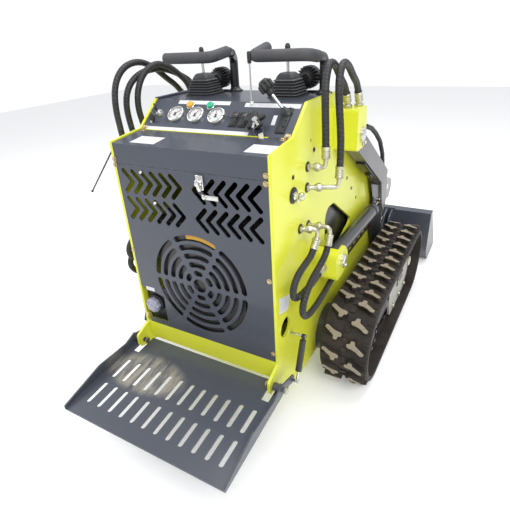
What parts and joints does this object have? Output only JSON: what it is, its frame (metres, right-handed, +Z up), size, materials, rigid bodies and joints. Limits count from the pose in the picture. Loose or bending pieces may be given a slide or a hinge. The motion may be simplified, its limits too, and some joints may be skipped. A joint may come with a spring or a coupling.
{
  "type": "mini track loader",
  "caption": "Walk-behind compact loader on rubber tracks: boxy body with rear stand-on platform, low lift arms, tilting bucket, grab bars and joysticks on a sloping console.",
  "frame": {"origin": "on the ground under the middle of the machine's length and width", "axes": "+X forward towards the bucket, +Y to the operator's left, +Z up"},
  "size_m": [2.22, 1.06, 1.2718],
  "materials": {
    "yellow_paint": "bright lime-yellow enamel",
    "slate_paint": "slate grey powder coat",
    "grey_paint": "light grey enamel",
    "black_plastic": "black moulded plastic and rubber",
    "black_steel": "black enamel",
    "track_rubber": "dusty black rubber with worn tan tips",
    "engine_metal": "black-painted castings",
    "bright_steel": "bright plated steel",
    "worn_steel": "scuffed bare steel",
    "hose_rubber": "black hose in spiral guard"
  },
  "bodies": {
    "chassis": {"arm_towers": "yellow_paint", "belly_plate": "yellow_paint", "body_pins": "bright_steel", "console": "slate_paint", "cylinder_brackets": "yellow_paint", "dash_instruments": "black_plastic", "drive_motors": "black_steel", "drive_sprockets": "black_steel", "engine": "engine_metal", "filler_cap": "black_plastic", "front_plate": "yellow_paint", "grab_bars": "black_steel", "hand_grips": "black_plastic", "hood": "slate_paint", "hose_fittings": "bright_steel", "hoses_left": "hose_rubber", "hoses_low": "hose_rubber", "hoses_right": "hose_rubber", "idler_wheels": "black_steel", "joystick_boots": "black_plastic", "joysticks": "black_plastic", "panel_latch": "bright_steel", "radiator": "black_steel", "rear_beam": "yellow_paint", "rear_panel": "slate_paint", "side_knobs": "bright_steel", "side_plate_left": "yellow_paint", "side_plate_right": "yellow_paint", "side_strips": "black_steel", "throttle_lever": "black_plastic", "top_cover": "slate_paint", "track_frames": "grey_paint", "track_left": "track_rubber", "track_right": "track_rubber", "track_rollers": "black_steel", "work_lamps": "black_plastic"},
    "lift_arm": {"arm_beams": "grey_paint", "arm_legs": "slate_paint", "toe_plates": "grey_paint", "cross_tube": "grey_paint", "tilt_pins": "bright_steel"},
    "lift_barrels": {"lift_barrels": "grey_paint"},
    "lift_rods": {"lift_rods": "bright_steel"},
    "tilt_barrels": {"tilt_barrels": "grey_paint"},
    "tilt_rods": {"tilt_rods": "bright_steel"},
    "hitch": {"hitch_plate": "slate_paint", "hitch_pins": "bright_steel", "bucket": "slate_paint", "bucket_edge": "worn_steel"},
    "platform": {"platform": "slate_paint"},
    "spring_barrels": {"spring_barrels": "black_steel"},
    "spring_rods": {"spring_rods": "bright_steel"}
  },
  "joints": [
    {"name": "arm_lift", "type": "hinge", "parent": "chassis", "child": "lift_arm", "pos_m": [-0.19, 0, 0.97], "axis": [0, -1, 0], "range_deg": [0, 65]},
    {"name": "bucket_tilt", "type": "hinge", "parent": "lift_arm", "child": "hitch", "pos_m": [0.625, 0, 0.2], "axis": [0, 1, 0], "range_deg": [-20, 70]},
    {"name": "platform_fold", "type": "hinge", "parent": "chassis", "child": "platform", "pos_m": [-0.75, 0, 0.258], "axis": [0, 1, 0], "range_deg": [0, 85]},
    {"name": "lift_barrel_swing", "type": "hinge", "parent": "chassis", "child": "lift_barrels", "pos_m": [-0.34, 0, 0.55], "axis": [0, -1, 0], "range_deg": [0, 45.39]},
    {"name": "lift_rod_slide", "type": "slide", "parent": "lift_barrels", "child": "lift_rods", "axis": [0.9992, 0, -0.0403], "range_m": [0, 0.3828]},
    {"name": "tilt_barrel_swing", "type": "hinge", "parent": "lift_arm", "child": "tilt_barrels", "pos_m": [0.525, 0, 0.545], "axis": [0, 1, 0], "range_deg": [-0.204, 0.714]},
    {"name": "tilt_rod_slide", "type": "slide", "parent": "tilt_barrels", "child": "tilt_rods", "axis": [0.502, 0, -0.8648], "range_m": [-0.03283, 0.11492]},
    {"name": "spring_barrel_swing", "type": "hinge", "parent": "chassis", "child": "spring_barrels", "pos_m": [-0.619, 0, 0.39], "axis": [0, 1, 0], "range_deg": [0, 13.9]},
    {"name": "spring_rod_slide", "type": "slide", "parent": "spring_barrels", "child": "spring_rods", "axis": [-0.3639, 0, -0.9314], "range_m": [0, 0.09029]}
  ],
  "couplings": [
    {"joint": "lift_barrel_swing", "follows": "arm_lift", "ratio": 0.68458},
    {"joint": "lift_rod_slide", "follows": "arm_lift", "m_per_rad": 0.33081},
    {"joint": "tilt_barrel_swing", "follows": "bucket_tilt", "ratio": 0.01},
    {"joint": "tilt_rod_slide", "follows": "bucket_tilt", "m_per_rad": 0.09222},
    {"joint": "spring_barrel_swing", "follows": "platform_fold", "ratio": 0.16034},
    {"joint": "spring_rod_slide", "follows": "platform_fold", "m_per_rad": 0.05967}
  ]
}
